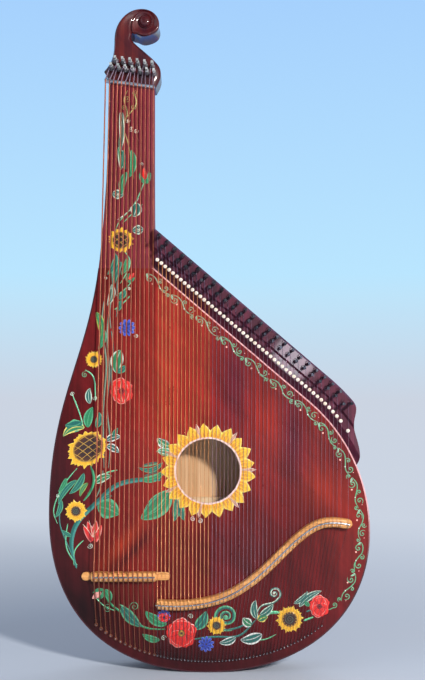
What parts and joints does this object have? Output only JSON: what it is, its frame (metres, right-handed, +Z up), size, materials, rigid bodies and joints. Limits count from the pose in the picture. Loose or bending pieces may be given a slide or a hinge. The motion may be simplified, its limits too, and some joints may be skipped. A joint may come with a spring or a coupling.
{
  "type": "bandura",
  "caption": "Pear-shaped plucked zither-lute with a slanted treble pin block, carved scroll head, round sound hole and turning tuning pins.",
  "frame": {"origin": "the lowest point of the lower rim at the soundboard's face, where a stand's cradle carries the instrument", "axes": "+X towards the treble side, +Y from the soundboard to the back, +Z up along the strings to the head"},
  "size_m": [0.4985, 0.123, 1.031],
  "materials": {
    "lacquered_board": "deep red gloss lacquer over spruce",
    "lacquered_maple": "maroon gloss lacquer",
    "pale_inlay": "polished pale pinkish inlay under lacquer",
    "bare_spruce": "bare planed wood inside the box",
    "honey_maple": "clear satin lacquer over maple",
    "steel": "bright steel",
    "tuning_steel": "polished nickel-plated steel",
    "bone": "polished cream bead",
    "bronze_winding": "bronze-wound string",
    "plain_wire": "bright music wire"
  },
  "bodies": {
    "root": {"soundboard": "lacquered_board", "soundboard_binding": "pale_inlay", "sound_hole_ring": "pale_inlay", "rim": "lacquered_maple", "back": "lacquered_maple", "neck": "lacquered_maple", "head": "lacquered_maple", "pin_block": "lacquered_maple", "neck_block": "bare_spruce", "tail_block": "bare_spruce", "top_lining": "bare_spruce", "back_lining": "bare_spruce", "soundboard_braces": "bare_spruce", "back_braces": "bare_spruce", "nut": "steel", "bass_bridge": "honey_maple", "treble_bridge": "honey_maple", "bass_saddle": "steel", "treble_saddle": "steel", "bass_guide_pins": "steel", "treble_guide_pins": "steel", "beads": "bone", "bead_pins": "steel", "hitch_pins": "steel", "bass_strings": "bronze_winding", "treble_wound_strings": "bronze_winding", "treble_plain_strings": "plain_wire", "treble_pins_rest": "tuning_steel"},
    "bass_pin_01": {"bass_pin_01": "tuning_steel"},
    "bass_pin_02": {"bass_pin_02": "tuning_steel"},
    "bass_pin_03": {"bass_pin_03": "tuning_steel"},
    "bass_pin_04": {"bass_pin_04": "tuning_steel"},
    "bass_pin_05": {"bass_pin_05": "tuning_steel"},
    "bass_pin_06": {"bass_pin_06": "tuning_steel"},
    "bass_pin_07": {"bass_pin_07": "tuning_steel"},
    "bass_pin_08": {"bass_pin_08": "tuning_steel"},
    "bass_pin_09": {"bass_pin_09": "tuning_steel"},
    "bass_pin_10": {"bass_pin_10": "tuning_steel"},
    "bass_pin_11": {"bass_pin_11": "tuning_steel"},
    "bass_pin_12": {"bass_pin_12": "tuning_steel"},
    "bass_pin_13": {"bass_pin_13": "tuning_steel"},
    "treble_pin_01": {"treble_pin_01": "tuning_steel"},
    "treble_pin_02": {"treble_pin_02": "tuning_steel"},
    "treble_pin_03": {"treble_pin_03": "tuning_steel"},
    "treble_pin_04": {"treble_pin_04": "tuning_steel"},
    "treble_pin_05": {"treble_pin_05": "tuning_steel"},
    "treble_pin_06": {"treble_pin_06": "tuning_steel"},
    "treble_pin_07": {"treble_pin_07": "tuning_steel"},
    "treble_pin_08": {"treble_pin_08": "tuning_steel"},
    "treble_pin_09": {"treble_pin_09": "tuning_steel"},
    "treble_pin_10": {"treble_pin_10": "tuning_steel"},
    "treble_pin_11": {"treble_pin_11": "tuning_steel"},
    "treble_pin_12": {"treble_pin_12": "tuning_steel"},
    "treble_pin_13": {"treble_pin_13": "tuning_steel"},
    "treble_pin_14": {"treble_pin_14": "tuning_steel"},
    "treble_pin_15": {"treble_pin_15": "tuning_steel"},
    "treble_pin_16": {"treble_pin_16": "tuning_steel"}
  },
  "joints": [
    {"name": "bass_pin_01_turn", "type": "hinge", "parent": "root", "child": "bass_pin_01", "pos_m": [-0.1493, 0.004, 0.93742], "axis": [0, 1, 0], "range_deg": [-360, 60]},
    {"name": "bass_pin_02_turn", "type": "hinge", "parent": "root", "child": "bass_pin_02", "pos_m": [-0.1428, 0.004, 0.94804], "axis": [0, 1, 0], "range_deg": [-360, 60]},
    {"name": "bass_pin_03_turn", "type": "hinge", "parent": "root", "child": "bass_pin_03", "pos_m": [-0.13833, 0.004, 0.93594], "axis": [0, 1, 0], "range_deg": [-360, 60]},
    {"name": "bass_pin_04_turn", "type": "hinge", "parent": "root", "child": "bass_pin_04", "pos_m": [-0.13146, 0.004, 0.94651], "axis": [0, 1, 0], "range_deg": [-360, 60]},
    {"name": "bass_pin_05_turn", "type": "hinge", "parent": "root", "child": "bass_pin_05", "pos_m": [-0.12736, 0.004, 0.93445], "axis": [0, 1, 0], "range_deg": [-360, 60]},
    {"name": "bass_pin_06_turn", "type": "hinge", "parent": "root", "child": "bass_pin_06", "pos_m": [-0.12012, 0.004, 0.94498], "axis": [0, 1, 0], "range_deg": [-360, 60]},
    {"name": "bass_pin_07_turn", "type": "hinge", "parent": "root", "child": "bass_pin_07", "pos_m": [-0.11639, 0.004, 0.93297], "axis": [0, 1, 0], "range_deg": [-360, 60]},
    {"name": "bass_pin_08_turn", "type": "hinge", "parent": "root", "child": "bass_pin_08", "pos_m": [-0.10878, 0.004, 0.94344], "axis": [0, 1, 0], "range_deg": [-360, 60]},
    {"name": "bass_pin_09_turn", "type": "hinge", "parent": "root", "child": "bass_pin_09", "pos_m": [-0.10542, 0.004, 0.93149], "axis": [0, 1, 0], "range_deg": [-360, 60]},
    {"name": "bass_pin_10_turn", "type": "hinge", "parent": "root", "child": "bass_pin_10", "pos_m": [-0.09744, 0.004, 0.94191], "axis": [0, 1, 0], "range_deg": [-360, 60]},
    {"name": "bass_pin_11_turn", "type": "hinge", "parent": "root", "child": "bass_pin_11", "pos_m": [-0.09445, 0.004, 0.93], "axis": [0, 1, 0], "range_deg": [-360, 60]},
    {"name": "bass_pin_12_turn", "type": "hinge", "parent": "root", "child": "bass_pin_12", "pos_m": [-0.0861, 0.004, 0.94037], "axis": [0, 1, 0], "range_deg": [-360, 60]},
    {"name": "bass_pin_13_turn", "type": "hinge", "parent": "root", "child": "bass_pin_13", "pos_m": [-0.08348, 0.004, 0.92852], "axis": [0, 1, 0], "range_deg": [-360, 60]},
    {"name": "treble_pin_01_turn", "type": "hinge", "parent": "root", "child": "treble_pin_01", "pos_m": [-0.075, -0.014, 0.67215], "axis": [0, 1, 0], "range_deg": [-360, 60]},
    {"name": "treble_pin_02_turn", "type": "hinge", "parent": "root", "child": "treble_pin_02", "pos_m": [-0.07, -0.014, 0.65552], "axis": [0, 1, 0], "range_deg": [-360, 60]},
    {"name": "treble_pin_03_turn", "type": "hinge", "parent": "root", "child": "treble_pin_03", "pos_m": [-0.063, -0.014, 0.6619], "axis": [0, 1, 0], "range_deg": [-360, 60]},
    {"name": "treble_pin_04_turn", "type": "hinge", "parent": "root", "child": "treble_pin_04", "pos_m": [-0.058, -0.014, 0.64527], "axis": [0, 1, 0], "range_deg": [-360, 60]},
    {"name": "treble_pin_05_turn", "type": "hinge", "parent": "root", "child": "treble_pin_05", "pos_m": [-0.051, -0.014, 0.65166], "axis": [0, 1, 0], "range_deg": [-360, 60]},
    {"name": "treble_pin_06_turn", "type": "hinge", "parent": "root", "child": "treble_pin_06", "pos_m": [-0.046, -0.014, 0.63502], "axis": [0, 1, 0], "range_deg": [-360, 60]},
    {"name": "treble_pin_07_turn", "type": "hinge", "parent": "root", "child": "treble_pin_07", "pos_m": [-0.039, -0.014, 0.64141], "axis": [0, 1, 0], "range_deg": [-360, 60]},
    {"name": "treble_pin_08_turn", "type": "hinge", "parent": "root", "child": "treble_pin_08", "pos_m": [-0.034, -0.014, 0.62477], "axis": [0, 1, 0], "range_deg": [-360, 60]},
    {"name": "treble_pin_09_turn", "type": "hinge", "parent": "root", "child": "treble_pin_09", "pos_m": [-0.027, -0.014, 0.63116], "axis": [0, 1, 0], "range_deg": [-360, 60]},
    {"name": "treble_pin_10_turn", "type": "hinge", "parent": "root", "child": "treble_pin_10", "pos_m": [-0.022, -0.014, 0.61452], "axis": [0, 1, 0], "range_deg": [-360, 60]},
    {"name": "treble_pin_11_turn", "type": "hinge", "parent": "root", "child": "treble_pin_11", "pos_m": [-0.015, -0.014, 0.62091], "axis": [0, 1, 0], "range_deg": [-360, 60]},
    {"name": "treble_pin_12_turn", "type": "hinge", "parent": "root", "child": "treble_pin_12", "pos_m": [-0.01, -0.014, 0.60428], "axis": [0, 1, 0], "range_deg": [-360, 60]},
    {"name": "treble_pin_13_turn", "type": "hinge", "parent": "root", "child": "treble_pin_13", "pos_m": [-0.003, -0.014, 0.61066], "axis": [0, 1, 0], "range_deg": [-360, 60]},
    {"name": "treble_pin_14_turn", "type": "hinge", "parent": "root", "child": "treble_pin_14", "pos_m": [0.002, -0.014, 0.59403], "axis": [0, 1, 0], "range_deg": [-360, 60]},
    {"name": "treble_pin_15_turn", "type": "hinge", "parent": "root", "child": "treble_pin_15", "pos_m": [0.009, -0.014, 0.60041], "axis": [0, 1, 0], "range_deg": [-360, 60]},
    {"name": "treble_pin_16_turn", "type": "hinge", "parent": "root", "child": "treble_pin_16", "pos_m": [0.014, -0.014, 0.58378], "axis": [0, 1, 0], "range_deg": [-360, 60]}
  ]
}
